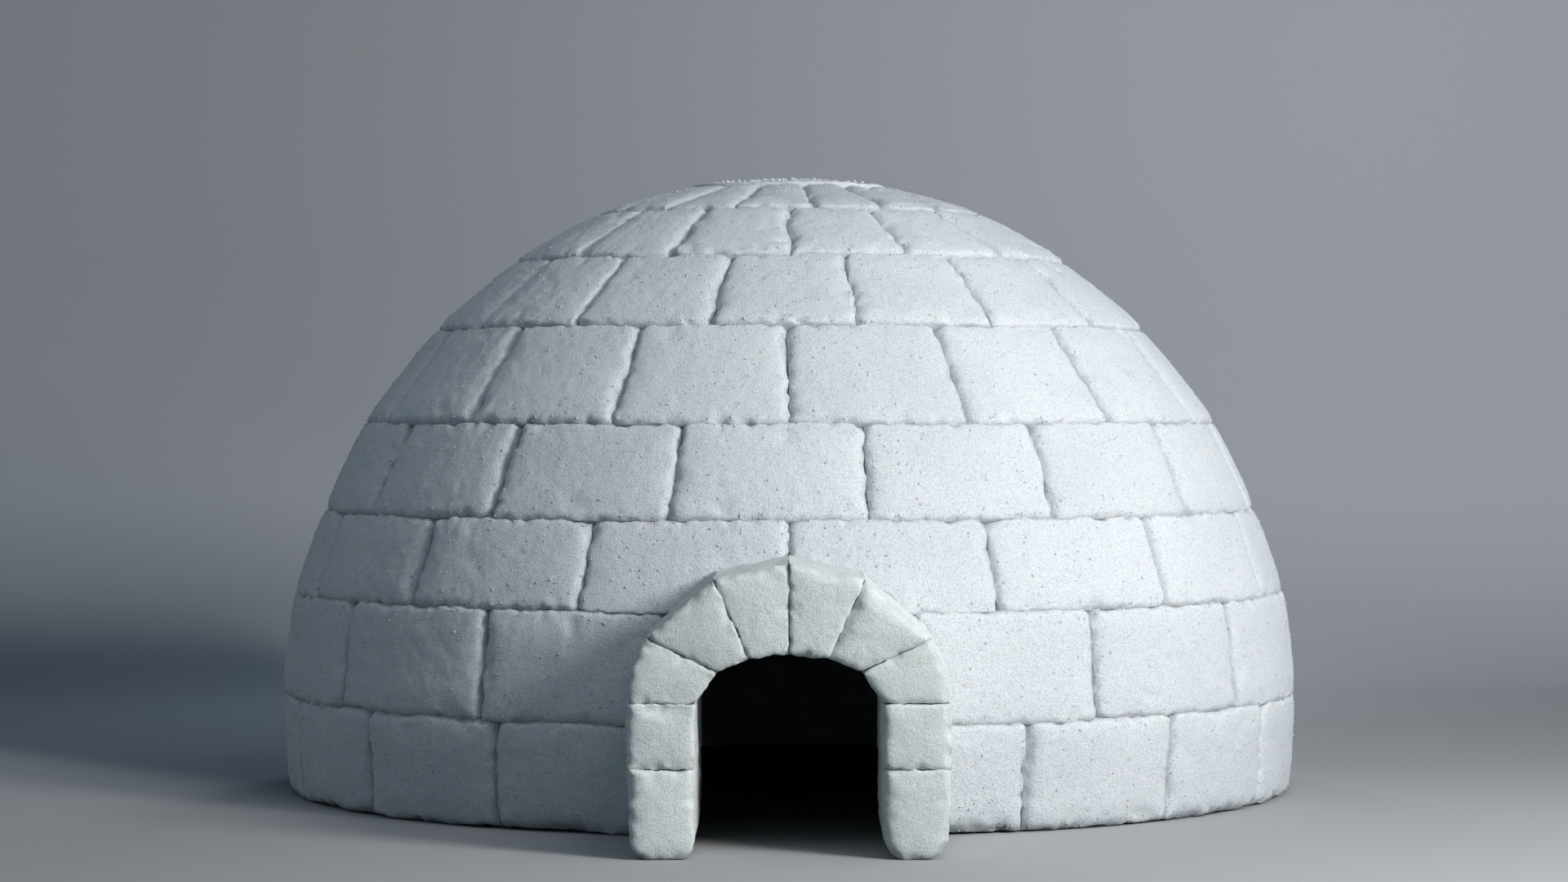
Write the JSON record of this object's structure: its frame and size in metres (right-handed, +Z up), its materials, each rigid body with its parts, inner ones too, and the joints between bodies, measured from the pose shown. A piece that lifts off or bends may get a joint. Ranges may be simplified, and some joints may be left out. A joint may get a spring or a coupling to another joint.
{
  "type": "igloo",
  "caption": "Hollow dome-shaped shelter of cut snow blocks laid in level courses and closed by a key block, with a low arched crawl doorway standing out from the wall.",
  "frame": {"origin": "on the ground, at the middle of the outer box; the dome's own axis stands 0.328 m behind it", "axes": "+Z up; the doorway faces -Y; +X is to the right of someone who faces the doorway"},
  "size_m": [4.1896, 4.8448, 2.5254],
  "materials": {
    "wall_snow": "matte",
    "porch_snow": "matte",
    "key_snow": "matte"
  },
  "bodies": {
    "root": {"course_1_left": "wall_snow", "course_1_right": "wall_snow", "course_1_back": "wall_snow", "course_2_left": "wall_snow", "course_2_right": "wall_snow", "course_2_back": "wall_snow", "course_3_left": "wall_snow", "course_3_right": "wall_snow", "course_3_back": "wall_snow", "course_4_left": "wall_snow", "course_4_right": "wall_snow", "course_4_back": "wall_snow", "course_5_left": "wall_snow", "course_5_right": "wall_snow", "course_5_back": "wall_snow", "course_6_left": "wall_snow", "course_6_right": "wall_snow", "course_6_back": "wall_snow", "course_7_left": "wall_snow", "course_7_right": "wall_snow", "course_7_back": "wall_snow", "course_8_left": "wall_snow", "course_8_right": "wall_snow", "course_8_back": "wall_snow", "key_block": "key_snow", "jamb_left_lower": "porch_snow", "jamb_left_upper": "porch_snow", "arch_left_springer": "porch_snow", "arch_left_haunch": "porch_snow", "arch_left_crown": "porch_snow", "jamb_right_lower": "porch_snow", "jamb_right_upper": "porch_snow", "arch_right_springer": "porch_snow", "arch_right_haunch": "porch_snow", "arch_right_crown": "porch_snow"}
  },
  "joints": []
}
